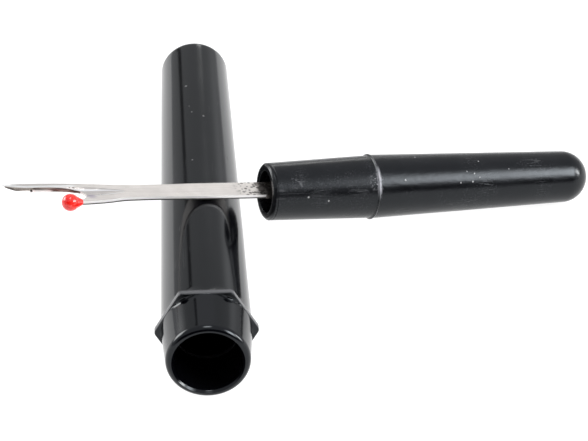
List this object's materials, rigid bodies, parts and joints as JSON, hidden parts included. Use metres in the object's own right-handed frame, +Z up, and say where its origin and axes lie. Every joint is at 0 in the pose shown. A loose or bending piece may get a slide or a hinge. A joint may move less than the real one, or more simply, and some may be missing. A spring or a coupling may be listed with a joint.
{
  "type": "seam ripper",
  "caption": "Small seam ripper with a forked steel blade, a ball on the short prong, a tapered plastic handle and a push-on cap with a hexagonal anti-roll flange.",
  "frame": {"origin": "on the table, under the middle of the footprint of the cap and the ripper as they lie crossed", "axes": "+Y along the cap from its mouth to its closed end, seen from above; +X from the blade's point towards the grip; +Z up"},
  "size_m": [0.0668, 0.0636, 0.0135],
  "materials": {
    "cap_plastic": "polished black moulded plastic",
    "handle_plastic": "satin black moulded plastic with light handling wear",
    "blade_steel": "nickel-plated stamped steel, fine grain along the blade",
    "ball_plastic": "glossy, slightly translucent red plastic"
  },
  "bodies": {
    "cap": {"cap": "cap_plastic"},
    "ripper": {"handle": "handle_plastic", "blade": "blade_steel", "ball": "ball_plastic"}
  },
  "joints": [
    {"name": "ripper_lift", "type": "slide", "parent": "cap", "child": "ripper", "axis": [0, 0, 1], "range_m": [0, 0.03]}
  ]
}
